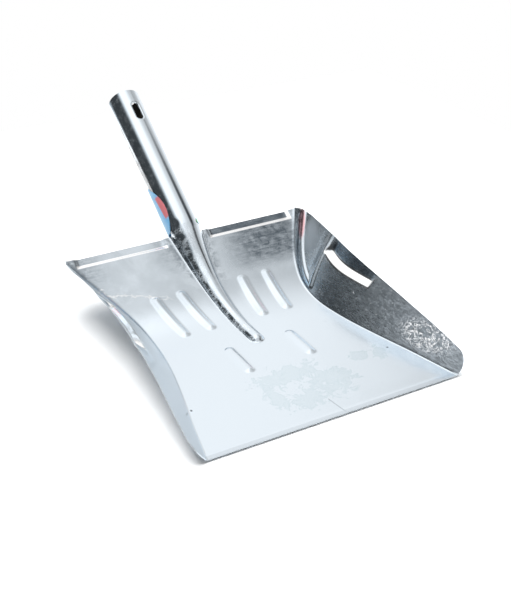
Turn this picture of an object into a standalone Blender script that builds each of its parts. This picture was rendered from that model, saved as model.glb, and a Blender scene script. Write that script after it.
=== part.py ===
"""A one-piece galvanised steel feed scoop.

The pan and the hollow handle are pressed and rolled from one steel sheet. Here the sheet is
parted across the root of the handle, so that the open pan and the open tube are simple solids,
and a thin label wraps the underside of the handle. Metres, +Z up, the mouth of the pan
towards -Y, and the origin on the floor under the middle of the whole scoop.

Every point of the sheet is given by its station, the length along the centre line from the
front edge, and by a place (across, rise) in the section at that station.
"""

import math

import bmesh
import bpy
from mathutils import Matrix, Vector

MM = 0.001

# Sheet steel
SHEET = 0.8 * MM
CLEARANCE = 0.3 * MM

# Centre line: flat floor, one long bend, then the leaning back wall
BEND_START = 149.6 * MM
BEND_RADIUS = 184.0 * MM
WALL_TILT = math.radians(34.3)
PAN_STATION = 281.0 * MM
LIP_LENGTH = 8.0 * MM
LIP_RISE = 0.4 * MM

# Crease between floor and side wall: (station, distance from the centre line)
CREASE = [
    (0.0, 115.7 * MM),
    (45.0 * MM, 105.4 * MM),
    (85.0 * MM, 95.0 * MM),
    (125.0 * MM, 86.4 * MM),
    (163.0 * MM, 82.4 * MM),
    (195.0 * MM, 84.6 * MM),
    (225.0 * MM, 93.8 * MM),
    (255.0 * MM, 107.8 * MM),
    (281.0 * MM, 121.0 * MM),
]
CREASE_RADIUS_FRONT = 3.0 * MM
CREASE_RADIUS_BACK = 6.0 * MM

# Side walls
SIDE_LEAN = math.radians(38.5)
RIM_HEIGHT = 47.3 * MM
RIM_HEIGHT_FRONT = 13.8 * MM
RIM_LEVEL_FROM = 230.0 * MM
RIM_RISE_POWER = 1.7
FRONT_CORNER = 12.0 * MM
FRONT_CORNER_FROM = 5.0 * MM
BACK_CORNER = 9.0 * MM
BACK_CORNER_REACH = 34.0 * MM

# Outward bow of the rim: (station, distance)
RIM_BOW = [
    (0.0, 0.0),
    (55.0 * MM, -1.0 * MM),
    (85.0 * MM, -0.2 * MM),
    (110.0 * MM, 0.5 * MM),
    (150.0 * MM, 0.5 * MM),
    (200.0 * MM, 1.1 * MM),
    (225.0 * MM, -0.5 * MM),
    (245.0 * MM, -1.6 * MM),
    (262.0 * MM, -0.5 * MM),
    (281.0 * MM, 0.0),
]

# Handle: a tube rolled from the tongue of the sheet, open at its end and at its seam below
TUBE_RADIUS = 15.5 * MM
TUBE_END_STATION = 446.0 * MM
TUBE_SEAM_ANGLE = math.radians(178.0)
TUBE_ROOT_ANGLE = math.radians(82.0)
TUBE_CLOSING_LENGTH = 38.0 * MM
SLOT_STATION = 420.0 * MM
SLOT_LENGTH = 21.0 * MM
SLOT_WIDTH = 8.0 * MM
SLOT_TURN = math.radians(8.0)

# Centre ridge that runs from the handle down into the floor
RIDGE_NOSE = 132.5 * MM
RIDGE_WIDTH_NOSE = 7.2 * MM
RIDGE_WIDTH_ROOT = 18.5 * MM
RIDGE_RISE_NOSE = 4.3 * MM
RIDGE_ROOT_SHARE = 0.174
RIDGE_WIDTH_POWER = 2.4
RIDGE_RISE_POWER = 2.8

# Raised ribs: (station, distance from the centre line) of the two end centres
RIB_HALF_WIDTH = 5.4 * MM
RIB_RISE = 2.0 * MM
RIB_ROOT_SHARE = 0.35
INNER_RIB = ((168.0 * MM, 26.6 * MM), (217.0 * MM, 31.8 * MM))
OUTER_RIB = ((168.0 * MM, 52.0 * MM), (217.0 * MM, 57.5 * MM))
FLOOR_RIB = ((91.5 * MM, 29.9 * MM), (126.0 * MM, 29.9 * MM))

# Stiffening strips set back along the rim of the back wall and of each side wall
BACK_STRIP = (22.0 * MM, 113.5 * MM)
BACK_STRIP_STATION = 270.3 * MM
BACK_STRIP_STEP = 3.6 * MM
BACK_STRIP_DEPTH = 1.9 * MM
SIDE_STRIP = (121.5 * MM, 201.0 * MM)
SIDE_STRIP_ENDS = (4.0 * MM, 8.0 * MM)
SIDE_STRIP_UP = 34.5 * MM
SIDE_STRIP_STEP = 7.5 * MM
SIDE_STRIP_DEPTH = 3.2 * MM

# The rim over each side strip stands out a little and runs back in beyond the strip's ends
RIM_OUT = 1.2 * MM
RIM_OUT_FADE = 20.0 * MM

# Label round the underside of the handle
LABEL = 0.3 * MM
LABEL_STATIONS = (284.0 * MM, 339.0 * MM)
LABEL_CREST_STATION = 308.0 * MM
LABEL_LEFT_ANGLE = math.radians(50.0)
LABEL_LEFT_DROP = math.radians(45.0)
LABEL_RIGHT_ANGLE = math.radians(40.0)
LABEL_RIGHT_DROP = math.radians(60.0)
LABEL_RIGHT_STATIONS = (286.0 * MM, 300.0 * MM)

# Rows of the pan's mesh, as stations: closer together where the pressing changes
PAN_ROWS = [
    row * MM
    for row in (
        0, 4, 8, 24, 44, 66, 86, 88.5, 92, 101.5, 111.5, 121.5, 125.5, 127.5, 130, 133, 138,
        146, 155, 162.6, 165, 168.5, 178, 187, 193, 201, 209, 216.5, 220, 222.4, 230, 238,
        246, 253, 260, 266, 270.3, 273.9, 277.5, 281,
    )
]


def eased(share):
    """Smooth 0 to 1."""
    share = min(max(share, 0.0), 1.0)
    return share * share * (3.0 - 2.0 * share)


def through(points, place):
    """Smooth curve through (place, value) points, with each slope taken from its neighbours."""
    places = [point[0] for point in points]
    place = min(max(place, places[0]), places[-1])
    index = max(i for i in range(len(points) - 1) if places[i] <= place)

    def slope(i):
        low = max(i - 1, 0)
        high = min(i + 1, len(points) - 1)
        return (points[high][1] - points[low][1]) / (points[high][0] - points[low][0])

    span = places[index + 1] - places[index]
    t = (place - places[index]) / span
    start, end = points[index][1], points[index + 1][1]
    return (
        start * (1 + 2 * t) * (1 - t) ** 2
        + end * t * t * (3 - 2 * t)
        + slope(index) * span * t * (1 - t) ** 2
        - slope(index + 1) * span * t * t * (1 - t)
    )


def spine(station):
    """Place (y, z) and tilt of the centre line, from the front edge of the floor."""
    tilt = min(max((station - BEND_START) / BEND_RADIUS, 0.0), WALL_TILT)
    beyond = max(station - BEND_START - BEND_RADIUS * WALL_TILT, 0.0)
    y = min(station, BEND_START) + BEND_RADIUS * math.sin(tilt) + beyond * math.cos(tilt)
    z = BEND_RADIUS * (1.0 - math.cos(tilt)) + beyond * math.sin(tilt)
    return y, z, tilt


def scoop_centre():
    """Distance from the front edge to the middle of the whole scoop."""
    y, _, tilt = spine(TUBE_END_STATION)
    return 0.5 * (y + (TUBE_RADIUS + 0.5 * SHEET) * math.sin(tilt))


def placed(station, across, rise):
    """The point of the sheet's middle surface at a station and a place in its section."""
    y, z, tilt = spine(station)
    y -= rise * math.sin(tilt) + scoop_centre()
    return Vector((across, y, z + rise * math.cos(tilt) + 0.5 * SHEET))


def bump(distance, half_width, height, root_share):
    """Height of a pressed rib: a crown arc that runs into a root fillet at each side."""
    if distance >= half_width:
        return 0.0
    turn = 2.0 * math.atan(height / half_width)
    reach = half_width / math.sin(turn)
    root = reach * root_share
    crown = reach - root
    if distance <= crown * math.sin(turn):
        return height - crown + math.sqrt(crown**2 - distance**2)
    return root - math.sqrt(root**2 - (half_width - distance) ** 2)


def ridge_size(station):
    """Half width and height of the centre ridge at a station."""
    share = (max(station, RIDGE_NOSE) - RIDGE_NOSE) / (PAN_STATION - RIDGE_NOSE)
    width_gain = (RIDGE_WIDTH_ROOT - RIDGE_WIDTH_NOSE) * share**RIDGE_WIDTH_POWER
    rise_gain = (TUBE_RADIUS - RIDGE_RISE_NOSE) * share**RIDGE_RISE_POWER
    return RIDGE_WIDTH_NOSE + width_gain, RIDGE_RISE_NOSE + rise_gain


def ridge_columns(station):
    """Distances from the centre line of the ridge's columns, out to the foot of its fillet."""
    half_width, height = ridge_size(station)
    turn = 2.0 * math.atan(height / half_width)
    reach = half_width / math.sin(turn)
    crown = reach * (1.0 - RIDGE_ROOT_SHARE)
    columns = [crown * math.sin(turn * i / 5) for i in range(6)]
    columns += [half_width - reach * RIDGE_ROOT_SHARE * math.sin(turn / 2), half_width]
    return columns


def ridge_rise(station, across):
    half_width, height = ridge_size(station)
    distance = math.hypot(across, min(station - RIDGE_NOSE, 0.0))
    return bump(distance, half_width, height, RIDGE_ROOT_SHARE)


def rib_rise(station, across, rib):
    """Height of a rib with round ends, from the distance to the line between its end centres."""
    start, end = Vector(rib[0]), Vector(rib[1])
    point = Vector((station, across))
    along = (point - start).dot(end - start) / (end - start).length_squared
    nearest = start.lerp(end, min(max(along, 0.0), 1.0))
    return bump((point - nearest).length, RIB_HALF_WIDTH, RIB_RISE, RIB_ROOT_SHARE)


def part_of(value, whole):
    """The share of a length that a value makes up, held between 0 and 1."""
    return min(max(value / whole, 0.0), 1.0)


def floor_rise(station, across):
    """Rise of the pressed floor and back wall above the plain sheet, less its set-back strip."""
    rise = ridge_rise(station, across)
    rise += sum(rib_rise(station, across, rib) for rib in (INNER_RIB, OUTER_RIB, FLOOR_RIB))
    rise += LIP_RISE * eased(1.0 - station / LIP_LENGTH)
    inside = min(across - BACK_STRIP[0], BACK_STRIP[1] - across, station - BACK_STRIP_STATION)
    return rise - BACK_STRIP_DEPTH * part_of(inside, BACK_STRIP_STEP)


def rib_line(station, low, high):
    """Distance from the centre line of the mesh column that follows a rib."""
    share = (station - low[0]) / (high[0] - low[0])
    return low[1] + (high[1] - low[1]) * min(max(share, 0.0), 1.0)


def wall_length(station):
    """Length of the side wall from its crease to the rim, up its slope."""
    y, z, tilt = spine(station)
    rise = RIM_HEIGHT
    for _ in range(24):
        rim_y = y - rise * math.sin(tilt)
        dip = max(1.0 - rim_y / RIM_LEVEL_FROM, 0.0) ** RIM_RISE_POWER
        rim_z = RIM_HEIGHT - (RIM_HEIGHT - RIM_HEIGHT_FRONT) * dip
        rise = (rim_z - z) / math.cos(tilt)
    return rise / math.cos(SIDE_LEAN)


def corner_cut(share):
    """Part of a quarter round that is cut away at this share of its width."""
    return 1.0 - math.sqrt(1.0 - min(max(share, 0.0), 1.0) ** 2)


def wall_station(station, share, length):
    """The station of a wall point, drawn in at the round front and back corners of the rim."""
    up = share * length
    front = corner_cut((up - FRONT_CORNER_FROM) / (wall_length(0.0) - FRONT_CORNER_FROM))
    fade = max(1.0 - station / (4.0 * FRONT_CORNER), 0.0)
    back = corner_cut(share) * BACK_CORNER
    near_top = eased((station - PAN_STATION + BACK_CORNER_REACH) / BACK_CORNER_REACH)
    return station + front * FRONT_CORNER * fade - back * near_top


def strip_depth(station, up, length):
    """Depth of the side strip: deepest along its lower edge, running out into the rim."""
    high = SIDE_STRIP_UP + SIDE_STRIP_STEP
    inside = min(
        part_of(station - SIDE_STRIP[0], SIDE_STRIP_ENDS[0]),
        part_of(SIDE_STRIP[1] - station, SIDE_STRIP_ENDS[1]),
        part_of(up - SIDE_STRIP_UP, SIDE_STRIP_STEP),
    )
    inside *= 1.0 - part_of(up - high, max(length - high, MM))
    near = eased((station - SIDE_STRIP[0] + RIM_OUT_FADE) / RIM_OUT_FADE)
    near *= eased((SIDE_STRIP[1] + RIM_OUT_FADE - station) / RIM_OUT_FADE)
    out = RIM_OUT * near * part_of(up - SIDE_STRIP_UP, max(length - SIDE_STRIP_UP, MM))
    return out + SIDE_STRIP_DEPTH * inside


def wall_point(station, up):
    """Place (across, rise) of a point of the side wall, with its bow and its strip."""
    length = wall_length(station)
    depth = strip_depth(station, up, length)
    across = through(CREASE, station) + through(RIM_BOW, station) * part_of(up, length) ** 2
    across += up * math.sin(SIDE_LEAN) + depth * math.cos(SIDE_LEAN)
    return across, up * math.cos(SIDE_LEAN) - depth * math.sin(SIDE_LEAN)


def pan_row(station):
    """Points of one row of the pan's right half, from the centre line out to the rim."""
    columns = ridge_columns(station)
    inner = rib_line(station, *INNER_RIB)
    if station < INNER_RIB[0][0]:
        inner = rib_line(station, FLOOR_RIB[1], INNER_RIB[0])
    outer = rib_line(station, *OUTER_RIB)
    offsets = (-RIB_HALF_WIDTH, -0.45 * RIB_HALF_WIDTH, 0.45 * RIB_HALF_WIDTH, RIB_HALF_WIDTH)
    columns += [inner + offset for offset in offsets]
    columns += [outer + offset for offset in offsets]

    turn = math.radians(90.0) - SIDE_LEAN
    share = eased((station - BEND_START) / (PAN_STATION - BEND_START))
    radius = CREASE_RADIUS_FRONT + (CREASE_RADIUS_BACK - CREASE_RADIUS_FRONT) * share
    tangent = radius * math.tan(turn / 2)
    crease = through(CREASE, station)
    columns.append(crease - 2.2 * tangent)
    row = [placed(station, across, floor_rise(station, across)) for across in columns]

    lip = LIP_RISE * eased(1.0 - station / LIP_LENGTH)
    for i in range(3):
        angle = turn * i / 3
        across = crease - tangent + radius * math.sin(angle)
        row.append(placed(station, across, radius * (1.0 - math.cos(angle)) + lip))

    length = max(wall_length(station), 2.0 * tangent)
    strip_low = min(SIDE_STRIP_UP, 0.7 * length) / length
    strip_high = min(SIDE_STRIP_UP + SIDE_STRIP_STEP, 0.87 * length) / length
    root = tangent / length
    for up_share in (root, 0.5 * (root + strip_low), strip_low, strip_high, 1.0):
        drawn = wall_station(station, up_share, length)
        row.append(placed(drawn, *wall_point(drawn, up_share * max(wall_length(drawn), 2 * tangent))))
    return row


def tube_row(station, radius, angles):
    """Points round the tube at a station. Angles run from the top towards +X."""
    return [placed(station, radius * math.sin(a), radius * math.cos(a)) for a in angles]


def handle_row(station):
    closing = eased((station - PAN_STATION) / TUBE_CLOSING_LENGTH)
    widest = TUBE_ROOT_ANGLE + (TUBE_SEAM_ANGLE - TUBE_ROOT_ANGLE) * closing
    return tube_row(station, TUBE_RADIUS, [widest * i / 16 for i in range(17)])


def label_row(station):
    """One row of the label, from its left edge round the underside to its right edge."""
    from_crest = (station - LABEL_CREST_STATION) / (LABEL_STATIONS[1] - LABEL_CREST_STATION)
    left = LABEL_LEFT_ANGLE + LABEL_LEFT_DROP * from_crest**2
    low, high = LABEL_RIGHT_STATIONS
    right = LABEL_RIGHT_ANGLE + LABEL_RIGHT_DROP * eased((station - low) / (high - low))
    radius = TUBE_RADIUS + 0.5 * SHEET + CLEARANCE + 0.5 * LABEL
    start, end = -left, -(2.0 * math.pi - right)
    return tube_row(station, radius, [start + (end - start) * i / 28 for i in range(29)])


def material(name, colour, metallic, roughness):
    made = bpy.data.materials.new(name)
    made.use_nodes = True
    shader = made.node_tree.nodes["Principled BSDF"]
    shader.inputs["Base Color"].default_value = (*colour, 1.0)
    shader.inputs["Metallic"].default_value = metallic
    shader.inputs["Roughness"].default_value = roughness
    return made


def loft(name, rows, collection):
    """An open sheet through rows of points, smooth except where the pressing is sharp."""
    shape = bmesh.new()
    grid = [[shape.verts.new(point) for point in row] for row in rows]
    for low, high in zip(grid, grid[1:]):
        for i in range(len(low) - 1):
            shape.faces.new((low[i], low[i + 1], high[i + 1], high[i]))
    mesh = bpy.data.meshes.new(name)
    shape.to_mesh(mesh)
    shape.free()
    mesh.shade_smooth()
    made = bpy.data.objects.new(name, mesh)
    collection.objects.link(made)
    return made


def mirrored(made):
    """The left half, joined to the right half along the centre line."""
    mirror = made.modifiers.new("other_half", "MIRROR")
    mirror.merge_threshold = 0.00005


def thickened(made, thickness):
    solid = made.modifiers.new("sheet", "SOLIDIFY")
    solid.thickness = thickness
    solid.offset = 0.0
    solid.use_even_offset = True


def new_collection(name):
    made = bpy.data.collections.new(name)
    bpy.context.scene.collection.children.link(made)
    return made


def make_pan(collection, steel):
    pan = loft("pan", [pan_row(station) for station in PAN_ROWS], collection)
    pan.data.materials.append(steel)
    mirrored(pan)
    thickened(pan, SHEET)
    return pan


def slot_cutter(collection):
    """A round-ended bar through the top of the tube: a cylinder with its two halves drawn apart."""
    shape = bmesh.new()
    bmesh.ops.create_cone(
        shape,
        cap_ends=True,
        segments=24,
        radius1=SLOT_WIDTH / 2,
        radius2=SLOT_WIDTH / 2,
        depth=TUBE_RADIUS,
        matrix=Matrix.Rotation(math.pi / 24, 4, "Z"),
    )
    for vert in shape.verts:
        vert.co.y += math.copysign(0.5 * (SLOT_LENGTH - SLOT_WIDTH), vert.co.y)
    mesh = bpy.data.meshes.new("slot_cutter")
    shape.to_mesh(mesh)
    shape.free()
    cutter = bpy.data.objects.new("slot_cutter", mesh)
    turn = Matrix.Rotation(WALL_TILT, 4, "X") @ Matrix.Rotation(SLOT_TURN, 4, "Y")
    place = Matrix.Translation(placed(SLOT_STATION, 0.0, 0.0))
    cutter.matrix_world = place @ turn @ Matrix.Translation((0.0, 0.0, TUBE_RADIUS))
    cutter.display_type = "WIRE"
    cutter.hide_render = True
    collection.objects.link(cutter)
    return cutter


def make_handle(collection, cutters, steel):
    closed_from = PAN_STATION + TUBE_CLOSING_LENGTH
    stations = [PAN_STATION + CLEARANCE]
    stations += [PAN_STATION + TUBE_CLOSING_LENGTH * i / 6 for i in range(1, 7)]
    stations += [closed_from + (TUBE_END_STATION - closed_from) * i / 3 for i in range(1, 4)]
    handle = loft("handle", [handle_row(station) for station in stations], collection)
    handle.data.materials.append(steel)
    mirrored(handle)
    thickened(handle, SHEET)
    slot = handle.modifiers.new("hanging_slot", "BOOLEAN")
    slot.operation = "DIFFERENCE"
    slot.solver = "EXACT"
    slot.object = slot_cutter(cutters)
    return handle


def make_label(collection, paper):
    low, high = LABEL_STATIONS
    stations = [low + (high - low) * i / 12 for i in range(13)]
    label = loft("handle_label", [label_row(station) for station in stations], collection)
    label.data.materials.append(paper)
    thickened(label, LABEL)
    return label


def main():
    for thing in list(bpy.data.objects):
        bpy.data.objects.remove(thing, do_unlink=True)
    parts = new_collection("feed_scoop")
    cutters = new_collection("cutters")
    steel = material("galvanised_steel", (0.66, 0.69, 0.72), 1.0, 0.28)
    paper = material("label_film", (0.20, 0.50, 0.78), 0.0, 0.35)
    frame = bpy.data.objects.new("scoop_frame", None)
    parts.objects.link(frame)
    pieces = [
        make_pan(parts, steel),
        make_handle(parts, cutters, steel),
        make_label(parts, paper),
    ]
    for piece in pieces:
        piece.parent = frame


main()
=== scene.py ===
import math

import bpy
import numpy as np
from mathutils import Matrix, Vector


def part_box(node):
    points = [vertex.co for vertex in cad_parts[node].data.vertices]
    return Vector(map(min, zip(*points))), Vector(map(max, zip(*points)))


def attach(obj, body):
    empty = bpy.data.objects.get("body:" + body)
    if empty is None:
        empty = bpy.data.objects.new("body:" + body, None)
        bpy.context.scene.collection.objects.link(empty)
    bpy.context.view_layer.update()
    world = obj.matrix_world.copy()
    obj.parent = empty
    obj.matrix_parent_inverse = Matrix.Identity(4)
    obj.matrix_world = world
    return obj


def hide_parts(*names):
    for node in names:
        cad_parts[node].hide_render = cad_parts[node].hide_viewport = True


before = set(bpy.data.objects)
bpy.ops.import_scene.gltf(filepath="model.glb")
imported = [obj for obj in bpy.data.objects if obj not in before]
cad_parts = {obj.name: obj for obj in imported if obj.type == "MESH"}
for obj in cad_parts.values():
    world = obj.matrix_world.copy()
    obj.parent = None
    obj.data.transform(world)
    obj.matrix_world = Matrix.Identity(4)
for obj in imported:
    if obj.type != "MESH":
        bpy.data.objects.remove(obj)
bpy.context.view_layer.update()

mm = 0.001  # lengths are in millimetres, but for the studio's

# The scoop is one pressing, from the front lip to the open end of the handle. A place on its
# sheet is a station (the length along the centre line from the front edge), a distance across
# and a rise above the plain sheet.

sheet = {
    "thickness": 0.8,
    "bendStart": 149.6,  # the floor is flat up to here
    "bendRadius": 184.0,
    "wallTilt": math.radians(34.3),
    "panEnd": 281.0,
    "lipLength": 8.0,
    "lipRise": 0.4,
    "edgeRound": 0.22,
    "wave": 0.11,  # hand-finished sheet is never quite flat
    "floorColumns": 54,
    "creaseColumns": 8,
    "spacing": (  # stations from, to, and how far apart
        (0, 8, 1.0), (8, 84, 2.9), (84, 132, 1.3), (132, 160, 1.7),
        (160, 226, 1.3), (226, 268, 2.0), (268, 281, 0.65),
    ),
    "frontEdge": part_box("pan")[0].y / mm,
}

ridge = {
    "nose": 132.5,
    "noseWidth": 7.2,
    "rootWidth": 18.5,
    "noseRise": 4.3,
    "rootShare": 0.174,
    "widthPower": 2.4,
    "risePower": 2.8,
    "blend": 2.4,  # how gently its crown runs into the tube
}

ribs = {
    "halfWidth": 5.4,
    "rise": 1.6,
    "rootShare": 0.35,
    "lines": (  # each rib's two ends, as station and distance across
        ((168.0, 26.6), (217.0, 31.8)),
        ((168.0, 52.0), (217.0, 57.5)),
        ((91.5, 29.9), (126.0, 29.9)),
    ),
}

backStrip = {"low": 22.0, "high": 113.5, "station": 270.3, "step": 3.6, "depth": 1.9}

walls = {
    "crease": (  # station and distance across
        (0, 115.7), (45, 105.4), (85, 95.0), (125, 86.4), (163, 82.4),
        (195, 84.6), (225, 93.8), (255, 107.8), (281, 121.0),
    ),
    "creaseRadius": (3.0, 6.0),
    "lean": math.radians(38.5),
    "rim": 47.3,
    "rimFront": 13.8,
    "levelFrom": 230.0,
    "risePower": 1.7,
    "frontCorner": 12.0,
    "frontCornerFrom": 5.0,
    "backCorner": 9.0,
    "backReach": 34.0,
    "bow": (  # how far the rim leans out or in of straight
        (0, 0), (55, -1.0), (85, -0.2), (110, 0.5), (150, 0.5),
        (200, 1.1), (225, -0.5), (245, -1.6), (262, -0.5), (281, 0),
    ),
    "strip": (121.5, 201.0),
    "stripEnds": (4.0, 8.0),
    "stripUp": 34.5,
    "stripStep": 7.5,
    "stripDepth": 3.2,
    "stripCorner": 1.2,
    "columns": (11, 3, 3, 3, 8),
    "columnShares": (0.66, 0.72, 0.82, 0.88),  # where the wall is too low for the strip
    "rimOut": 1.2,
    "rimFade": 20.0,
}

handle = {
    "radius": 15.5,
    "end": 446.0,
    "seam": math.radians(178.0),
    "closing": 38.0,
    "columns": 24,
    "slotStation": 420.0,
    "slotLength": 21.0,
    "slotWidth": 8.0,
    "slotTurn": math.radians(8.0),
    "slotLip": 1.3,
    "spacing": (1.6, 4.4, 1.5, 2.2),
    "window": (17.0, 16.0, math.radians(33.0)),  # left in the tube's grid for the slot's own rings
    "rings": 7,
    "lipTurns": (18.0, 36.0, 54.0, 72.0, 88.0),
    "dent": (287.0, math.radians(-50.0), 1.1),  # the press leaves a mark where the tube meets the pan
    "dentReach": (3.6, 4.2),
}


def eased(share):
    share = np.clip(share, 0.0, 1.0)
    return share * share * (3.0 - 2.0 * share)


def through(points, place):  # a smooth curve, each slope taken from the neighbours
    places = np.array([p[0] for p in points], float)
    values = np.array([p[1] for p in points], float)
    slopes = np.gradient(values, places)
    slopes[1:-1] = (values[2:] - values[:-2]) / (places[2:] - places[:-2])
    place = np.clip(place, places[0], places[-1])
    i = np.clip(np.searchsorted(places, place, side="right") - 1, 0, len(places) - 2)
    span = places[i + 1] - places[i]
    t = (place - places[i]) / span
    ends = values[i] * (1 + 2 * t) * (1 - t) ** 2 + values[i + 1] * t * t * (3 - 2 * t)
    return ends + slopes[i] * span * t * (1 - t) ** 2 - slopes[i + 1] * span * t * t * (1 - t)


def spine(station):
    tilt = np.clip((station - sheet["bendStart"]) / sheet["bendRadius"], 0.0, sheet["wallTilt"])
    beyond = np.maximum(station - sheet["bendStart"] - sheet["bendRadius"] * sheet["wallTilt"], 0.0)
    y = np.minimum(station, sheet["bendStart"]) + sheet["bendRadius"] * np.sin(tilt) + beyond * np.cos(tilt)
    z = sheet["bendRadius"] * (1.0 - np.cos(tilt)) + beyond * np.sin(tilt)
    return y, z, tilt


def placed(station, across, rise):
    y, z, tilt = spine(station)
    y = y - rise * np.sin(tilt) + sheet["frontEdge"]
    z = z + rise * np.cos(tilt) + 0.5 * sheet["thickness"]
    return np.stack(np.broadcast_arrays(across, y, z), axis=-1)


def bump(distance, halfWidth, height, rootShare):  # a crown arc that runs into a fillet
    turn = 2.0 * np.arctan(height / halfWidth)
    reach = halfWidth / np.sin(turn)
    root = reach * rootShare
    crown = reach - root
    top = height - crown + np.sqrt(np.maximum(crown**2 - distance**2, 0.0))
    foot = root - np.sqrt(np.maximum(root**2 - (halfWidth - distance) ** 2, 0.0))
    return np.where(distance >= halfWidth, 0.0, np.where(distance <= crown * np.sin(turn), top, foot))


def ridgeSize(station):
    share = (np.maximum(station, ridge["nose"]) - ridge["nose"]) / (sheet["panEnd"] - ridge["nose"])
    width = ridge["noseWidth"] + (ridge["rootWidth"] - ridge["noseWidth"]) * share ** ridge["widthPower"]
    rise = ridge["noseRise"] + (handle["radius"] - ridge["noseRise"]) * share ** ridge["risePower"]
    near = np.maximum(ridge["blend"] - (handle["radius"] - rise), 0.0)
    return width, rise - near**2 / (4.0 * ridge["blend"])


def crownDip(station):  # the rest of that blend, past the root of the handle
    slope = ridge["risePower"] * (handle["radius"] - ridge["noseRise"]) / (sheet["panEnd"] - ridge["nose"])
    near = np.maximum(ridge["blend"] - slope * (station - sheet["panEnd"]), 0.0)
    return near**2 / (4.0 * ridge["blend"])


def ramp(share):  # straight from 0 to 1, with the two corners rounded
    corner = 0.12
    foot = (share + corner) ** 2 / (4.0 * corner)
    head = 1.0 - (1.0 + corner - share) ** 2 / (4.0 * corner)
    made = np.where(share < corner, foot, np.where(share > 1.0 - corner, head, share))
    return np.where(share <= -corner, 0.0, np.where(share >= 1.0 + corner, 1.0, made))


def floorRise(station, across):
    across = np.abs(across)
    width, height = ridgeSize(station)
    fromRidge = np.hypot(across, np.minimum(station - ridge["nose"], 0.0))
    rise = bump(fromRidge, width, height, ridge["rootShare"])
    for (lowStation, lowAcross), (highStation, highAcross) in ribs["lines"]:
        ds, da = highStation - lowStation, highAcross - lowAcross
        fromStation, fromAcross = station - lowStation, across - lowAcross
        t = np.clip((fromStation * ds + fromAcross * da) / (ds * ds + da * da), 0.0, 1.0)
        distance = np.hypot(fromStation - t * ds, fromAcross - t * da)
        rise = rise + bump(distance, ribs["halfWidth"], ribs["rise"], ribs["rootShare"])
    along = np.minimum(across - backStrip["low"], backStrip["high"] - across)
    inside = np.minimum(along, station - backStrip["station"]) / backStrip["step"]
    return rise - backStrip["depth"] * ramp(inside)


def wallLength(station):  # up the slope, from the crease to the rim
    y, z, tilt = spine(station)
    rise = walls["rim"] + 0.0 * station
    for _ in range(24):
        dip = np.maximum(1.0 - (y - rise * np.sin(tilt)) / walls["levelFrom"], 0.0) ** walls["risePower"]
        rise = (walls["rim"] - (walls["rim"] - walls["rimFront"]) * dip - z) / np.cos(tilt)
    return rise / math.cos(walls["lean"])


def cornerCut(share):
    return 1.0 - np.sqrt(1.0 - np.clip(share, 0.0, 1.0) ** 2)


def wallStation(station, share, length):  # drawn in at the rounded corners of the rim
    frontLength = float(wallLength(np.array(0.0)))
    front = cornerCut((share * length - walls["frontCornerFrom"]) / (frontLength - walls["frontCornerFrom"]))
    fade = np.maximum(1.0 - station / (4.0 * walls["frontCorner"]), 0.0)
    nearTop = eased((station - sheet["panEnd"] + walls["backReach"]) / walls["backReach"])
    return station + front * walls["frontCorner"] * fade - cornerCut(share) * walls["backCorner"] * nearTop


def wallPoint(station, up):  # the strip is deepest along its lower edge and runs out into the rim
    length = wallLength(station)
    (first, last), (firstEnd, lastEnd) = walls["strip"], walls["stripEnds"]
    low, high = walls["stripUp"], walls["stripUp"] + walls["stripStep"]
    along = np.minimum((station - first) / firstEnd, (last - station) / lastEnd)
    inside = ramp(np.minimum(along, (up - low) / walls["stripStep"]))
    inside = inside * (1.0 - np.clip((up - high) / np.maximum(length - high, 1.0), 0.0, 1.0))
    near = eased((station - first + walls["rimFade"]) / walls["rimFade"])
    near = near * eased((last + walls["rimFade"] - station) / walls["rimFade"])
    out = walls["rimOut"] * near * np.clip((up - low) / np.maximum(length - low, 1.0), 0.0, 1.0)
    depth = out + walls["stripDepth"] * inside
    lean = walls["lean"]
    bow = through(walls["bow"], station) * np.clip(up / length, 0.0, 1.0) ** 2
    across = through(walls["crease"], station) + bow + up * math.sin(lean) + depth * math.cos(lean)
    return across, up * math.cos(lean) - depth * math.sin(lean)


def spaced(runs):  # stations from (start, end, spacing) runs
    found = [runs[0][0]]
    for start, end, spacing in runs:
        count = max(1, round((end - start) / spacing))
        found += [start + (end - start) * (i + 1) / count for i in range(count)]
    return np.array(found)


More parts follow.
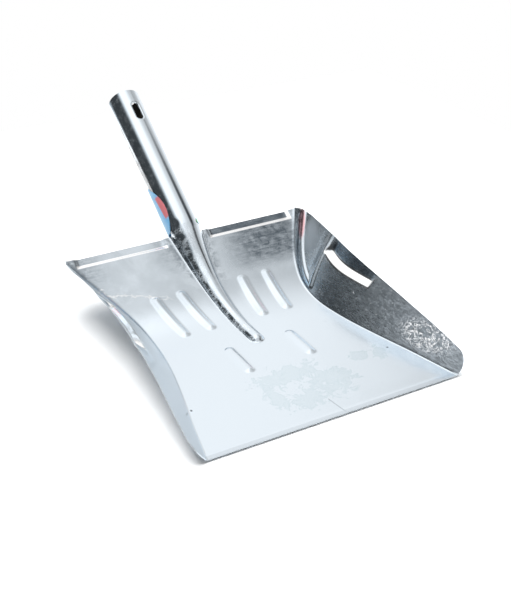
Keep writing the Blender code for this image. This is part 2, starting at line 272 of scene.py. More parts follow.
def rightHalf(stations):  # ridge crown, its fillet, the floor, the crease and the side wall
    s = stations[:, None]
    width, height = ridgeSize(s)
    turn = 2.0 * np.arctan(height / width)
    reach = width / np.sin(turn)
    crown = reach * (1.0 - ridge["rootShare"])
    crownAngles = turn * np.linspace(0.0, 1.0, handle["columns"] + 1)[None]
    fillet = np.array([0.75, 0.5, 0.25])[None]

    bend = math.radians(90.0) - walls["lean"]
    front, back = walls["creaseRadius"]
    radius = front + (back - front) * eased((s - sheet["bendStart"]) / (sheet["panEnd"] - sheet["bendStart"]))
    tangent = radius * math.tan(bend / 2)
    crease = through(walls["crease"], s)
    across = np.concatenate([
        crown * np.sin(crownAngles),
        width - reach * ridge["rootShare"] * np.sin(turn * fillet),
        width + (crease - tangent - width) * np.linspace(0.0, 1.0, sheet["floorColumns"])[None],
    ], axis=1)
    lip = sheet["lipRise"] * eased(1.0 - s / sheet["lipLength"])
    bends = bend * np.linspace(0.0, 1.0, sheet["creaseColumns"])[None, 1:-1]
    length = np.maximum(wallLength(s), 2.0 * tangent)
    low, high = walls["stripUp"], walls["stripUp"] + walls["stripStep"]
    corner = walls["stripCorner"]
    edges = (low - corner, low + corner, high - corner, high + corner)
    stops = [np.minimum(edge, share * length) for edge, share in zip(edges, walls["columnShares"])]
    stops = [tangent, *stops, length]
    runs = [start + (end - start) * np.linspace(0.0, 1.0, count + 1)[None, :-1]
            for start, end, count in zip(stops, stops[1:], walls["columns"])]
    share = np.concatenate(runs + [length], axis=1) / length
    drawn = wallStation(s, share, length)
    up = share * np.maximum(wallLength(drawn), 2.0 * tangent)
    points = np.concatenate([
        placed(s, across, floorRise(s, across) + lip),
        placed(s, crease - tangent + radius * np.sin(bends), radius * (1.0 - np.cos(bends)) + lip),
        placed(drawn, *wallPoint(drawn, up)),
    ], axis=1)
    outward = np.concatenate([across, crease - tangent + radius * bends, crease + up], axis=1)
    along = np.concatenate([s + 0.0 * across, s + 0.0 * bends, drawn], axis=1)
    above = np.maximum(outward - crease, 0.0)
    return points, outward, along, above


def tubePoint(station, angle, sink=0.0):
    dentStation, dentAngle, dentDepth = handle["dent"]
    reachAlong, reachAround = handle["dentReach"]
    away = ((station - dentStation) / reachAlong) ** 2
    away = away + ((angle - dentAngle) * handle["radius"] / reachAround) ** 2
    radius = handle["radius"] - sink - dentDepth * np.exp(-away)
    dip = crownDip(station) * np.cos(angle / 2.0) ** 2
    return placed(station, radius * np.sin(angle), radius * np.cos(angle) - dip)


class Patchwork:  # patches of one sheet, joined wherever their points meet
    near = 0.0025

    def __init__(self):
        self.points, self.places, self.faces, self.known = [], [], [], {}

    def add(self, point, place):
        key = tuple(np.round(point / self.near).astype(int))
        if key not in self.known:
            self.known[key] = len(self.points)
            self.points.append(point)
            self.places.append(place)
        return self.known[key]

    def grid(self, points, places, skip=None, around=False):
        rows, columns = points.shape[:2]
        ids = [[self.add(points[r, c], places[r, c]) for c in range(columns)] for r in range(rows)]
        for r in range(rows - 1):
            for c in range(columns if around else columns - 1):
                if skip and skip[0] <= r < skip[1] and skip[2] <= c < skip[3]:
                    continue
                d = (c + 1) % columns
                self.faces.append((ids[r][c], ids[r][d], ids[r + 1][d], ids[r + 1][c]))


def slotOutline(station, arc, grow):  # where the ray from the slot's middle meets its outline
    middle = handle["slotTurn"] * handle["radius"]
    half = handle["slotWidth"] / 2 + grow
    straight = (handle["slotLength"] - handle["slotWidth"]) / 2
    ds, da = station - handle["slotStation"], arc - middle
    long = np.hypot(ds, da)
    ds, da = ds / long, da / long
    side = half / np.maximum(np.abs(da), 1e-9)
    onSide = np.abs(ds) * side <= straight
    endReach = straight * np.abs(ds) + np.sqrt(np.maximum(half**2 - (straight * da) ** 2, 0.0))
    ray = np.where(onSide, side, endReach)
    return handle["slotStation"] + ds * ray, middle + da * ray


def slotPatch(work, stations, angles):  # rings from the window in the tube down into the slot's lip
    r0, r1, c0, c1 = 0, len(stations) - 1, 0, len(angles) - 1
    loop = [(r0, c) for c in range(c0, c1)] + [(r, c1) for r in range(r0, r1)]
    loop += [(r1, c) for c in range(c1, c0, -1)] + [(r, c0) for r in range(r1, r0, -1)]
    s = np.array([stations[r] for r, c in loop])
    a = np.array([angles[c] for r, c in loop])
    radius, lip = handle["radius"], handle["slotLip"]
    outerS, outerA = slotOutline(s, a * radius, lip)
    points, places = [], []
    for share in np.linspace(0.0, 1.0, handle["rings"]):
        ringS, ringA = s + (outerS - s) * share, a + (outerA / radius - a) * share
        points.append(tubePoint(ringS, ringA))
        places.append(np.stack([ringA * radius, ringS, ringS * 0.0], axis=-1))
    for turn in np.radians(handle["lipTurns"]):
        ringS, ringA = slotOutline(s, a * radius, lip * (1.0 - math.sin(turn)))
        points.append(tubePoint(ringS, ringA / radius, lip * (1.0 - math.cos(turn))))
        places.append(np.stack([ringA, ringS, ringS * 0.0], axis=-1))
    work.grid(np.array(points), np.array(places), around=True)


def thickened(name, work, thickness, edgeRound):
    # both faces of the sheet and a rounded edge all the way round, as one closed skin
    points, places, faces = (np.array(each) for each in (work.points, work.places, work.faces))
    corners = points[faces]
    flat = np.cross(corners[:, 2] - corners[:, 0], corners[:, 3] - corners[:, 1])
    normals = np.zeros_like(points)
    for k in range(4):
        np.add.at(normals, faces[:, k], flat)
    normals /= np.linalg.norm(normals, axis=1)[:, None]

    sides = np.concatenate([faces[:, [k, (k + 1) % 4]] for k in range(4)])
    found = {tuple(pair) for pair in sides.tolist()}
    border = np.array([pair for pair in found if pair[::-1] not in found])
    border = border[np.lexsort((border[:, 1], border[:, 0]))]
    outward = np.zeros_like(points)
    for end in (0, 1):
        runs = points[border[:, 1]] - points[border[:, 0]]
        np.add.at(outward, border[:, end], np.cross(runs, normals[border[:, end]]))
    rim = np.unique(border)
    outward[rim] /= np.linalg.norm(outward[rim], axis=1)[:, None]

    half = thickness / 2
    inset = points - outward * edgeRound
    verts = [inset + normals * half, inset - normals * half]
    vertNormals = [normals, -normals]
    count, rings = len(points), [np.arange(len(points))]
    ringOf = np.full(count, -1)
    ringOf[rim] = np.arange(len(rim))
    for turn in np.radians([45.0, 0.0, -45.0]):
        rings.append(2 * count + len(rim) * (len(rings) - 1) + ringOf)
        verts.append((inset + outward * edgeRound * math.cos(turn) + normals * half * math.sin(turn))[rim])
        vertNormals.append((outward * math.cos(turn) + normals * math.sin(turn))[rim])
    rings.append(np.arange(count) + count)
    quads = [faces, faces[:, ::-1] + count]
    for high, low in zip(rings, rings[1:]):
        first, last = border[:, 0], border[:, 1]
        quads.append(np.stack([high[first], low[first], low[last], high[last]], axis=1))

    mesh = bpy.data.meshes.new(name)
    mesh.from_pydata((np.concatenate(verts) * mm).tolist(), [], np.concatenate(quads).tolist())
    mesh.shade_smooth()
    mesh.normals_split_custom_set_from_vertices(np.concatenate(vertNormals).tolist())
    place = np.concatenate([places, places] + [places[rim]] * 3)
    layer = mesh.attributes.new("sheetPlace", "FLOAT_VECTOR", "POINT")
    layer.data.foreach_set("vector", place.astype(np.float32).ravel())
    side = np.concatenate([np.ones(count), -np.ones(count), np.zeros(3 * len(rim))])
    layer = mesh.attributes.new("sheetSide", "FLOAT", "POINT")
    layer.data.foreach_set("value", side.astype(np.float32))
    made = bpy.data.objects.new(name, mesh)
    bpy.context.scene.collection.objects.link(made)
    return made


def waviness(x, along):  # a slow ripple that fades out at the lip, the rims, the strips and the ridge
    ripple = 1.0 + np.sin(x / 17.0 + along / 31.0) * np.sin(along / 23.0 - x / 45.0)
    across = np.abs(x)
    calm = eased(along / 20.0) * eased((268.0 - along) / 30.0)
    calm = calm * eased((across - 18.0) / 15.0) * eased((150.0 - across) / 25.0)
    return sheet["wave"] * ripple * calm


def makePressing():
    work = Patchwork()
    mirror = np.array([-1.0, 1.0, 1.0])
    points, outward, along, above = rightHalf(spaced(sheet["spacing"]))
    for sign in (1, -1):
        half = points * np.array([sign, 1.0, 1.0])
        x = sign * outward
        half[..., 2] += waviness(x, along)
        places = np.stack([x, along, above], axis=-1)
        work.grid(half[:, ::sign], places[:, ::sign])

    # the ridge's crown runs on and closes into the tube, with a window left for the slot
    count = handle["columns"]
    crown = points[-1, : count + 1]
    width, height = ridgeSize(sheet["panEnd"])
    root = 2.0 * math.atan(height / width)
    before, after, aside = handle["window"]
    first, last = handle["slotStation"] - before, handle["slotStation"] + after
    stops = (sheet["panEnd"], sheet["panEnd"] + handle["closing"], first, last, handle["end"])
    stations = spaced(list(zip(stops, stops[1:], handle["spacing"])))
    closing = eased((stations - sheet["panEnd"]) / handle["closing"])[:, None]
    turns = root + (handle["seam"] - root) * closing
    angles = np.arange(-count, count + 1)[None] / count * turns
    s = stations[:, None] + 0.0 * angles
    tube = tubePoint(s, angles)
    tube[0] = np.concatenate([crown[:0:-1] * mirror, crown])
    places = np.stack([angles * handle["radius"], s, 0.0 * s], axis=-1)
    r0, r1 = (int(np.argmin(np.abs(stations - end))) for end in (first, last))
    full = angles[-1]
    c0, c1 = (int(np.searchsorted(full, handle["slotTurn"] + end)) for end in (-aside, aside))
    work.grid(tube, places, skip=(r0, r1, c0, c1))
    slotPatch(work, stations[r0 : r1 + 1], full[c0 : c1 + 1])
    return thickened("pressedScoop", work, sheet["thickness"], sheet["edgeRound"])


# a plain printed film round the underside of the handle
label = {
    "stations": (284.0, 339.0),
    "crest": 308.0,
    "leftAngle": 50.0,
    "leftDrop": 45.0,
    "rightAngle": 40.0,
    "rightDrop": 60.0,
    "rightStations": (286.0, 300.0),
    "rows": 56,
    "columns": 90,
    "thickness": 0.14,
    "edgeRound": 0.05,
    "clear": 0.08,
}


def makeLabel():
    low, high = label["stations"]
    s = np.linspace(low, high, label["rows"])[:, None]
    fromCrest = (s - label["crest"]) / (high - label["crest"])
    left = label["leftAngle"] + label["leftDrop"] * fromCrest**2
    rightLow, rightHigh = label["rightStations"]
    right = label["rightAngle"] + label["rightDrop"] * eased((s - rightLow) / (rightHigh - rightLow))
    share = np.linspace(0.0, 1.0, label["columns"])[None]
    angles = np.radians(-left + (left + right - 360.0) * share)
    radius = handle["radius"] + sheet["thickness"] / 2 + label["clear"] + label["thickness"] / 2
    s = s + 0.0 * angles
    points = placed(s, radius * np.sin(angles), radius * np.cos(angles))[:, ::-1]
    places = np.stack([np.degrees(angles), s, 0.0 * s], axis=-1)[:, ::-1]
    work = Patchwork()
    work.grid(points, places)
    return thickened("labelFilm", work, label["thickness"], label["edgeRound"])


class Wire:  # a shader socket that can be added, multiplied and so on
    def __init__(self, board, socket):
        self.board, self.socket = board, socket

    def math(self, operation, *values):
        return self.board.node("ShaderNodeMath", {"operation": operation}, values)

    def __add__(self, other):
        return self.math("ADD", self, other)

    __radd__ = __add__

    def __mul__(self, other):
        return self.math("MULTIPLY", self, other)

    __rmul__ = __mul__

    def __sub__(self, other):
        return self.math("SUBTRACT", self, other)

    def __rsub__(self, other):
        return self.math("SUBTRACT", other, self)

    def __truediv__(self, other):
        return self.math("DIVIDE", self, other)

    def __rtruediv__(self, other):
        return self.math("DIVIDE", other, self)

    def __pow__(self, other):
        return self.math("POWER", self, other)

    def __rpow__(self, other):
        return self.math("POWER", other, self)

    def __abs__(self):
        return self.math("ABSOLUTE", self)

    def most(self, other):
        return self.math("MAXIMUM", self, other)

    def least(self, other):
        return self.math("MINIMUM", self, other)

    def rise(self, low, high):  # 0 below low, 1 above high, smooth between; works falling too
        values = {0: self, 1: min(low, high), 2: max(low, high)}
        made = self.board.node("ShaderNodeMapRange", {"interpolation_type": "SMOOTHSTEP"}, values)
        return 1.0 - made if low > high else made

    def outlet(self, key):  # another output of the same node
        return Wire(self.board, self.socket.node.outputs[key])

    def split(self):
        made = self.board.node("ShaderNodeSeparateXYZ", {}, {0: self})
        return [made.outlet(i) for i in range(3)]


class Board:  # a shader's node tree
    def __init__(self, tree):
        self.tree = tree

    def feed(self, socket, value):
        if isinstance(value, Wire):
            self.tree.links.new(value.socket, socket)
        else:
            socket.default_value = value

    def node(self, kind, settings=None, values=()):
        # a node of any type: its settings first, then its sockets' values or wires, by index or name
        made = self.tree.nodes.new(kind)
        for key, value in (settings or {}).items():
            setattr(made, key, value)
        for key, value in values.items() if isinstance(values, dict) else enumerate(values):
            self.feed(made.inputs[key], value)
        return Wire(self, made.outputs[0])

    def mixed(self, factor, first, second):  # colours, so the colour sockets of the Mix node
        pair = [value if isinstance(value, Wire) else (*value, 1.0) for value in (first, second)]
        settings = {"data_type": "RGBA", "clamp_factor": True}
        return self.node("ShaderNodeMix", settings, {0: factor, 6: pair[0], 7: pair[1]}).outlet(2)

    def noise(self, place, scale, detail=3.0, roughness=0.55, distortion=0.0):
        values = {"Vector": place, "Scale": scale, "Detail": detail}
        values.update({"Roughness": roughness, "Distortion": distortion})
        return self.node("ShaderNodeTexNoise", {}, values)

    def stretched(self, place, scales):
        return self.node("ShaderNodeVectorMath", {"operation": "MULTIPLY"}, {0: place, 1: scales})

    def attribute(self, name, outlet):
        return self.node("ShaderNodeAttribute", {"attribute_name": name}).outlet(outlet)

    def bump(self, height, strength, distance, normal=None):
        values = {"Strength": strength, "Distance": distance * mm, "Height": height}
        if normal:
            values["Normal"] = normal
        return self.node("ShaderNodeBump", {}, values)


def newMaterial(name):
    made = bpy.data.materials.new(name)
    made.use_nodes = True
    return made, Board(made.node_tree), made.node_tree.nodes["Principled BSDF"].inputs


def fromLine(place, line):  # distance from a straight line between two places
    (px, py), ((ax, ay), (bx, by)) = place, line
    dx, dy = bx - ax, by - ay
    share = ((px - ax) * dx + (py - ay) * dy) * (1.0 / (dx * dx + dy * dy))
    share = share.most(0.0).least(1.0)
    return ((px - ax - dx * share) ** 2.0 + (py - ay - dy * share) ** 2.0) ** 0.5


def fromSpot(place, spot):  # distance from the middle of a round or oval spot, 1 at its edge
    (px, py), (x, y, halfX, halfY) = place, spot
    return (((px - x) / halfX) ** 2.0 + ((py - y) / halfY) ** 2.0) ** 0.5


def nearest(distances):
    least = distances[0]
    for distance in distances[1:]:
        least = least.least(distance)
    return least


zinc = {
    "bright": (0.78, 0.85, 0.91),
    "dull": (0.60, 0.66, 0.71),
    "white": (1.0, 1.0, 1.0),
    "tidemark": (0.95, 0.97, 0.98),
    "stain": (0.64, 0.75, 0.80),
    # a near-black for real specks and scratches on the floor, and for the painted dark reflections and shade
    # on the back wall, the tube and the right wall's strip
    "speckAndDarkReflection": (0.14, 0.17, 0.20),
    "shade": (0.36, 0.37, 0.37),
    # a grey for the painted sheen along the tube's far left edge, standing in for the floor's reflection
    "edgeSheen": (0.36, 0.35, 0.34),
    # a near-black for the painted shade inside the tube
    "inside": (0.10, 0.09, 0.08),
    # a red for a painted reflection on the right wall
    "redReflection": (0.85, 0.38, 0.40),
    "roughness": 0.13,
}

# Marks lie at (across, station) on the floor and at (up, station) on the side walls. A spot has
# its middle and its two half sizes.
marks = {
    "blots": (
        (-6, 68, 26, 12), (-30, 44, 7, 17), (-8, 32, 15, 12),
        (22, 44, 17, 18), (62, 66, 9, 6), (81, 63, 7, 8),
    ),
    "specks": ((91.0, 64.0, 1.1, 1.1), (-98.0, 62.0, 1.0, 1.4)),
    "scratch": ((7.0, 2.0), (4.5, 23.0)),
    "leftCloud": (-92.0, 234.0, 26.0, 18.0),
    "haze": (23.0, 236.0, 15.0, 26.0),
    "curls": (19.0, 44.0, 15.0, 32.0),
    # where the painted red reflection lies on the right wall
    "redReflection": (11.0, 258.0, 6.0, 22.0),
    "folds": (((4.0, 184.0), (50.0, 213.0)), ((4.0, 184.0), (13.0, 276.0))),
    "foldDepth": 1.8,
    "grainDepth": 0.3,
}


class Zones:  # which part of the sheet is which, and the noises, marks and painted light and shade shared by its finish
    def __init__(self, board):
        self.place = board.attribute("sheetPlace", "Vector")
        self.x, self.y, self.up = self.place.split()
        self.across = abs(self.x)
        self.upper = board.attribute("sheetSide", "Fac").rise(-0.2, 0.2)
        self.addNoises(board)
        self.addParts()
        self.addWallMarksAndLight(board)
        self.addHandleSheen()
        self.addStains()

    def addNoises(self, board):
        place = self.place
        self.cloud = board.noise(place, 0.024, 4.0, 0.55, 0.3)
        self.mottle = board.noise(place, 0.14, 5.0, 0.65, 0.6)
        self.frost = board.noise(place, 0.9, 4.0, 0.7)
        self.ragged = board.noise(place, 0.075, 6.0, 0.72, 1.2)
        self.brushed = board.noise(board.stretched(place, (1.0, 0.04, 1.0)), 1.8, 5.0, 0.7)
        crossed = board.noise(board.stretched(place, (0.12, 1.0, 1.0)), 0.5, 5.0, 0.7)
        grain = board.noise(board.stretched(place, (1.0, 0.22, 1.0)), 0.7, 4.0, 0.8)
        self.grain = grain.rise(0.42, 0.64)
        self.streaks = self.brushed.rise(0.38, 0.62)
        self.clouds = self.cloud.rise(0.38, 0.62)
        self.speckle = (0.5 * crossed + 0.5 * self.mottle + 0.3 * self.frost).rise(0.50, 0.78)
        self.flecks = (0.6 * self.mottle + 0.4 * self.frost).rise(0.46, 0.62)
        self.hairs = (0.5 * self.mottle + 0.5 * self.frost).rise(0.50, 0.66)

    def addParts(self):
        x, y = self.x, self.y
        nose, panEnd = ridge["nose"], sheet["panEnd"]
        share = (y - nose).most(0.0) * (1.0 / (panEnd - nose))
        growth = (ridge["rootWidth"] - ridge["noseWidth"]) * share ** ridge["widthPower"]
        self.ridgeEdge = self.across - (ridge["noseWidth"] + growth)
        self.onWall = self.up.rise(0.4, 3.0)
        self.onTube = y.rise(panEnd - 2.0, panEnd + 5.0)
        offTube = 1.0 - self.onTube
        self.onRidge = self.ridgeEdge.rise(1.5, -1.0) * y.rise(nose - 6.5, nose - 1.5) * offTube
        self.onBack = y.rise(178.0, 222.0) * (1.0 - self.onWall) * (1.0 - self.onRidge) * offTube
        # painted dark reflection: where the back wall's top right is darkened and speckled
        self.topRight = (y + 14.0 * self.cloud).rise(226.0, 250.0) * x.rise(18.0, 62.0) * x.rise(125.0, 98.0)
        self.rightWall = self.onWall * x.rise(-1.0, 1.0)
        self.front = self.rightWall * y.rise(165.0, 5.0)

    def addWallMarksAndLight(self, board):
        wall, y, up = (self.up, self.y), self.y, self.up
        (first, last), low = walls["strip"], walls["stripUp"]
        high = low + walls["stripStep"]
        # painted highlight on the step faces of the side walls' strips
        self.facet = up.rise(low - 2.0, low - 0.5) * up.rise(high + 2.0, high + 0.5)
        self.facet = self.facet * y.rise(first - 2.0, first - 0.5) * y.rise(last + 2.0, last)
        # painted dark reflection on the floor of the right wall's strip
        self.stripFloor = up.rise(high + 0.5, high + 2.0) * self.rightWall
        self.stripFloor = self.stripFloor * y.rise(first, first + 5.5) * y.rise(last, last - 6.0)
        self.haze = fromSpot(wall, marks["haze"]).rise(1.0, 0.2) * self.rightWall
        loops = abs(board.noise(self.place, 0.10, 2.0, 0.5, 2.2) - 0.5).rise(0.034, 0.014)
        self.curls = loops * fromSpot(wall, marks["curls"]).rise(1.1, 0.6) * self.rightWall
        nicks = board.noise(board.stretched(self.place, (1.0, 0.35, 1.0)), 0.45, 2.0, 0.6)
        self.nicks = nicks.rise(0.70, 0.76) * self.rightWall

    def addHandleSheen(self):
        y = self.y
        # painted reflection: a paler, less metallic band along the tube's far left edge stands in for the
        # floor's reflection there
        fromEdge = self.x + 22.6 - 3.4 * y.rise(395.0, 345.0)
        self.edgeSheen = self.onTube * self.upper * fromEdge.rise(0.0, -2.2) * fromEdge.rise(-7.0, -3.5)
        self.edgeSheen = self.edgeSheen * y.rise(436.0, 405.0) * (0.55 + 0.45 * self.mottle.rise(0.35, 0.6))

    def addStains(self):
        blots = nearest([fromSpot((self.x, self.y), blot) for blot in marks["blots"]])
        self.fromBlot = blots + (self.ragged - 0.5) * 5.5
        self.stain = self.fromBlot.rise(1.04, 0.94) * self.upper


def backWallColour(board, zones, colour):
    # cloudy mottle, then painted dark reflection, speckled, towards its top on the right and on the left
    x, y, across, onBack = zones.x, zones.y, zones.across, zones.onBack
    colour = board.mixed(onBack * (0.20 + 0.55 * zones.clouds), colour, zinc["dull"])
    colour = board.mixed(onBack * zones.topRight * (0.46 + 0.54 * zones.speckle), colour, zinc["speckAndDarkReflection"])
    # painted dark reflection towards the top on the left, and beside the ridge there
    topLeft = x.rise(-75.0, -120.0) + 0.55 * x.rise(-48.0, -24.0) * x.rise(-10.0, -14.0)
    topLeft = topLeft * y.rise(225.0, 262.0)
    colour = board.mixed(onBack * topLeft * (0.18 + 0.45 * zones.speckle), colour, zinc["speckAndDarkReflection"])

    # painted shade: the set-back strip is dark on the right
    middle, half = (backStrip["low"] + backStrip["high"]) / 2, (backStrip["high"] - backStrip["low"]) / 2
    fromMiddle, inner = abs(across - middle), backStrip["station"] + backStrip["step"]
    stripFace = y.rise(inner - 0.7, inner + 0.3) * fromMiddle.rise(half - 2.2, half - 3.2)
    colour = board.mixed(stripFace * x.rise(-1.0, 1.0) * (0.55 + 0.4 * zones.speckle), colour, zinc["speckAndDarkReflection"])

    # painted shade beside the ridge towards the top of the back wall, broken up by mottle
    nearRidge = onBack * zones.ridgeEdge.rise(11.0, 0.0) * y.rise(205.0, 240.0)
    colour = board.mixed(nearRidge * zones.mottle.rise(0.40, 0.62) * 0.55, colour, zinc["speckAndDarkReflection"])
    bendBand = abs(y - 207.0 - 10.0 * zones.cloud).rise(14.0, 2.0) * onBack
    colour = board.mixed(bendBand * 0.30, colour, zinc["dull"])
    leftCloud = fromSpot((x, y), marks["leftCloud"]).rise(1.3, 0.3) * onBack
    patchy = 0.25 + 0.45 * zones.mottle.rise(0.35, 0.6)
    colour = board.mixed(leftCloud * patchy, colour, zinc["dull"])

    # a thin tidemark wanders over the left half
    tide = abs(y - 240.0 + 0.45 * (x + 100.0) + 26.0 * (zones.ragged - 0.5)).rise(1.7, 0.5)
    tide = tide * x.rise(-116.0, -104.0) * x.rise(-36.0, -52.0) * onBack
    return board.mixed(tide * 0.7, colour, zinc["tidemark"])


def handleColour(board, zones, colour):
    # the ridge is flecked; on the tube are painted a dark reflection line beside its crest, shade on its left
    # flank, a paler sheen along its far left edge, shade underneath and near-black shade inside
    x, y, onTube = zones.x, zones.y, zones.onTube
    ridgeTop = zones.onRidge * y.rise(170.0, 215.0) * y.rise(280.0, 255.0)
    colour = board.mixed(ridgeTop * (0.2 + 0.5 * zones.flecks), colour, zinc["dull"])
    # painted reflection: a dark line just right of the tube's crest, strongest near the pan
    darkReflectionLine = onTube * x.rise(1.6, 3.0) * x.rise(7.0, 4.6) * y.rise(415.0, 300.0)
    colour = board.mixed(darkReflectionLine * 0.75, colour, zinc["speckAndDarkReflection"])
    # painted shade on the tube's left flank, fading out towards its end
    leftSide = onTube * x.rise(-15.0, -19.0) * y.rise(420.0, 310.0)
    colour = board.mixed(leftSide * 0.6, colour, zinc["shade"])
    # painted sheen along the tube's far left edge
    colour = board.mixed(zones.edgeSheen * 0.8, colour, zinc["edgeSheen"])
    # painted shade on the tube's underside
    underneath = onTube * zones.across.rise(24.0, 28.0)
    colour = board.mixed(underneath * 0.75, colour, zinc["shade"])
    # painted shade: the inside of the tube is made nearly black
    inside = onTube * (1.0 - zones.upper)
    return board.mixed(inside * 0.9, colour, zinc["inside"])


def floorColour(board, zones, colour):
    # a pale water stain with a crisp edge near the lip, a few specks and one faint scratch
    floor = (zones.x, zones.y)
    strength = 0.38 + 0.42 * zones.fromBlot.rise(0.6, 1.0)
    colour = board.mixed(zones.stain * strength, colour, zinc["stain"])
    specks = nearest([fromSpot(floor, speckAndDarkReflection) for speckAndDarkReflection in marks["specks"]]).rise(1.2, 0.6)
    scratch = fromLine(floor, marks["scratch"]).rise(0.9, 0.3)
    dust = board.noise(zones.place, 0.30, 1.0, 0.5).rise(0.79, 0.84) * zones.y.rise(160.0, 130.0)
    dark = specks.most(0.35 * scratch).most(dust)
    return board.mixed(dark * 0.9 * zones.upper, colour, zinc["speckAndDarkReflection"])


def sideWallColour(board, zones, colour):
    # duller on the right, finely brushed along its length and scuffed towards the front
    x, y, onWall, rightWall = zones.x, zones.y, zones.onWall, zones.rightWall
    brushing = rightWall + 0.15 * (onWall - rightWall)
    colour = board.mixed(brushing * (0.15 + 0.30 * zones.streaks), colour, zinc["dull"])

    # painted highlights: the facets of the set-back strips are made white where they catch the light; the
    # curls and nicks made white with them are real scratches
    step = backStrip["step"]
    middle, half = (backStrip["low"] + backStrip["high"]) / 2, (backStrip["high"] - backStrip["low"]) / 2
    longFacet = abs(y - backStrip["station"] - step / 2).rise(2.2, 1.5)
    longFacet = longFacet * abs(zones.across - middle).rise(half + 0.25, half - 0.75)
    shortFacet = abs(x - backStrip["high"] + step / 2).rise(2.0, 1.4)
    shortFacet = shortFacet * y.rise(backStrip["station"] + 0.2, backStrip["station"] + 1.7)
    white = longFacet.most(shortFacet).most(zones.facet * onWall)
    white = white.most(zones.curls).most(zones.nicks * 0.6)
    colour = board.mixed(white, colour, zinc["white"])
    # painted dark reflection on the floor of the right wall's strip, speckled
    colour = board.mixed(zones.stripFloor * (0.50 + 0.42 * zones.speckle), colour, zinc["speckAndDarkReflection"])
    # painted reflection: a red patch low on the right wall near the back
    redReflection = fromSpot((zones.up, y), marks["redReflection"]).rise(1.0, 0.5) * rightWall
    return board.mixed(redReflection * 0.75, colour, zinc["redReflection"])


def zincRoughness(zones):
    rough = zinc["roughness"] + 0.05 * zones.mottle + 0.03 * zones.frost + 0.04 * zones.stain
    cloudy = 0.04 + 0.05 * zones.clouds + 0.25 * zones.topRight * zones.speckle
    brushing = 0.10 * zones.streaks * (0.3 + zones.grain) + 0.06 * zones.up.rise(6.0, 24.0)
    scuffing = 0.16 + 0.14 * zones.streaks + 0.22 * zones.grain
    leftFlank = zones.onRidge * zones.x.rise(0.0, -2.0) * zones.flecks
    rough = rough + zones.onBack * cloudy + zones.rightWall * brushing + zones.front * scuffing
    rough = rough + 0.25 * zones.nicks + 0.30 * zones.haze + 0.30 * leftFlank + 0.60 * zones.curls
    return rough * (1.0 - 0.6 * zones.facet)


def zincMetal(zones):  # less of a mirror wherever the surface is scuffed, and along the tube's far left edge for its painted sheen
    scuffing = 0.03 + 0.18 * zones.grain + 0.12 * zones.streaks
    leftFlank = zones.onRidge * zones.x.rise(0.5, -2.5) * zones.flecks
    tubeSide = zones.onTube * zones.x.rise(-8.0, -11.0) * zones.hairs
    metal = 1.0 - 0.85 * zones.curls - 0.5 * zones.nicks - zones.front * scuffing
    metal = metal - 0.62 * zones.edgeSheen - 0.42 * leftFlank - 0.16 * tubeSide
    return metal - 0.10 * zones.rightWall * zones.hairs


def zincRelief(board, zones):
    # two shallow folds run up each side wall from near the back corner, under a fine grain
    wall = (zones.up, zones.y)
    fold = nearest([fromLine(wall, line) for line in marks["folds"]]).rise(6.5, 0.5) * zones.onWall
    folded = board.bump(fold, 1.0, marks["foldDepth"])
    grain = 0.20 * zones.frost + 0.20 * zones.mottle + 0.20 * zones.rightWall * zones.brushed
    return board.bump(grain, 0.10, marks["grainDepth"], folded)


def makeZinc():
    made, board, sockets = newMaterial("galvanisedSteel")
    zones = Zones(board)
    colour = backWallColour(board, zones, zinc["bright"])
    for finish in (handleColour, floorColour, sideWallColour):
        colour = finish(board, zones, colour)
    # painted shade: a darker strip along the front lip, on its upper face
    lip = zones.y.rise(5.2, 3.4) * zones.upper * (1.0 - zones.onWall)
    board.feed(sockets["Base Color"], board.mixed(lip * 0.55, colour, zinc["dull"]))
    board.feed(sockets["Roughness"], zincRoughness(zones))
    board.feed(sockets["Metallic"], zincMetal(zones))
    board.feed(sockets["Normal"], zincRelief(board, zones))
    return made


filmPrint = {
    "sky": (0.27, 0.58, 0.86),
    "deep": (0.17, 0.46, 0.78),
    "red": (0.66, 0.20, 0.22),
    "green": (0.16, 0.42, 0.16),
    "roughness": 0.28,
}


def makeFilm():  # a blue film with one red and one green area, placed by angle and station
    made, board, sockets = newMaterial("printedFilm")
    place = board.attribute("sheetPlace", "Vector")
    angle, station = place.split()[:2]
    colour = board.mixed(board.noise(place, 0.05, 3.0, 0.5), filmPrint["sky"], filmPrint["deep"])
    slant = angle + 0.35 * (station - 312.0)
    red = slant.rise(-75.0, -73.0) * station.rise(297.0, 300.0) * station.rise(325.0, 322.0)
    colour = board.mixed(red, colour, filmPrint["red"])
    green = angle.rise(-310.0, -314.0) * station.rise(300.0, 296.0)
    board.feed(sockets["Base Color"], board.mixed(green, colour, filmPrint["green"]))
    board.feed(sockets["Roughness"], filmPrint["roughness"])
    return made


studio = {  # in metres and degrees
    "target": (0.0333, -0.0146, 0.0004),
    "azimuth": -29.26,
    "elevation": 29.11,
    "distance": 0.9655,
    "lens": 62.03,
    "tableHalf": 0.55,
    "tableLevel": -0.0012,  # the pan bellies a little, so its edges stand clear of the table
    "tableTone": 0.95,
    "lightPlace": (0.06, 0.22, 1.4),
    "lightSize": 1.7,
    "lightPower": 38.0,
    "darkSide": (0.88, 0.97, 1.03),
}


def makeCamera():
    a, e = math.radians(studio["azimuth"]), math.radians(studio["elevation"])
    back = Vector((math.sin(a) * math.cos(e), -math.cos(a) * math.cos(e), math.sin(e)))
    camera = bpy.data.objects.new("camera", bpy.data.cameras.new("camera"))
    bpy.context.scene.collection.objects.link(camera)
    camera.location = Vector(studio["target"]) + back * studio["distance"]
    camera.rotation_euler = (-back).to_track_quat("-Z", "Y").to_euler()
    camera.data.lens = studio["lens"]
    camera.data.sensor_width = 36.0
    bpy.context.scene.camera = camera


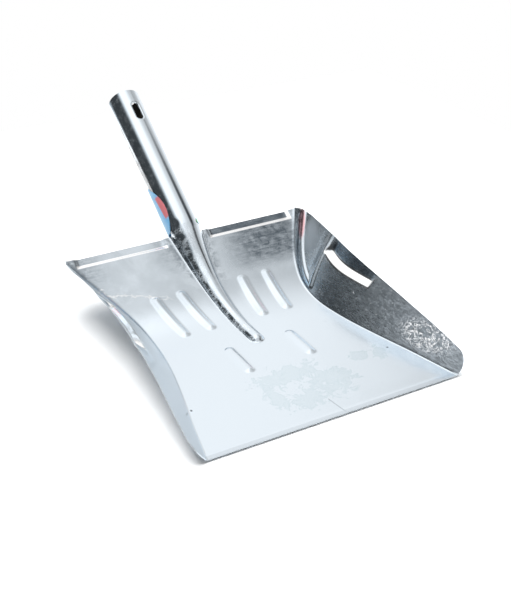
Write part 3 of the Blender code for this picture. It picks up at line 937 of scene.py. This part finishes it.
def makeWorld():
    world = bpy.data.worlds.new("studio")
    bpy.context.scene.world = world
    world.use_nodes = True
    board = Board(world.node_tree)
    background = world.node_tree.nodes["Background"].inputs
    x, y, z = board.node("ShaderNodeTexCoord").split()
    degrees = 180.0 / math.pi
    elevation = z.math("ARCSINE", z) * degrees
    fromRight = y.math("ARCTAN2", y, x) * degrees
    fromLeft = abs(y.math("ARCTAN2", y, 0.0 - x)) * degrees

    # a bright room: whiter above, a soft grey side on the right with one thin dark line in it,
    # and a dark side on the left
    level = 1.05 + 0.25 * elevation.rise(40.0, 60.0)
    side = fromRight.rise(60.0, 38.0) * fromRight.rise(-140.0, -100.0)
    grey = side * elevation.rise(88.0, 60.0) * elevation.rise(5.0, 30.0)
    line = fromRight.rise(20.0, 6.0) * fromRight.rise(-75.0, -55.0)
    line = line * abs(elevation - 42.0).rise(9.0, 3.5)
    dark = (fromLeft + 0.5 * elevation.most(0.0)).rise(92.0, 80.0) * elevation.rise(67.0, 43.0)
    level = level * (1.0 - 0.45 * grey) * (1.0 - 0.92 * line)
    level = level * (1.0 - dark * (0.55 + 0.40 * elevation.rise(-16.0, -8.0)))

    # dimmer as fill light, and plain white behind the scoop
    seen = board.node("ShaderNodeLightPath")
    level = level * (1.0 - 0.30 * seen.outlet("Is Diffuse Ray"))
    board.feed(background["Strength"], level + (1.0 - level) * seen)
    colour = board.mixed(dark * (1.0 - seen), (1.0, 1.0, 1.0), studio["darkSide"])
    board.feed(background["Color"], colour)


def makeTable():
    mesh = bpy.data.meshes.new("table")
    w, low = studio["tableHalf"], studio["tableLevel"]
    mesh.from_pydata([(-w, -w, low), (w, -w, low), (w, w, low), (-w, w, low)], [], [(0, 1, 2, 3)])
    table = bpy.data.objects.new("table", mesh)
    bpy.context.scene.collection.objects.link(table)
    made, board, sockets = newMaterial("paleTable")
    board.feed(sockets["Base Color"], (*[studio["tableTone"]] * 3, 1.0))
    board.feed(sockets["Roughness"], 0.9)
    mesh.materials.append(made)


def makeLight():
    light = bpy.data.lights.new("softTop", "AREA")
    light.shape = "DISK"
    light.size = studio["lightSize"]
    light.energy = studio["lightPower"]
    made = bpy.data.objects.new("softTop", light)
    made.location = studio["lightPlace"]
    made.rotation_euler = (-made.location).to_track_quat("-Z", "Y").to_euler()
    made.visible_glossy = False
    bpy.context.scene.collection.objects.link(made)


makeCamera()
makeWorld()
makeTable()
makeLight()
bpy.context.scene.view_settings.view_transform = "Standard"
print("studio ready")

pressing = makePressing()
pressing.data.materials.append(makeZinc())
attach(pressing, "root")
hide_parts("pan", "handle")
print("pressing ready:", len(pressing.data.polygons), "faces")

film = makeLabel()
film.data.materials.append(makeFilm())
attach(film, "root")
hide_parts("handle_label")
print("label ready")
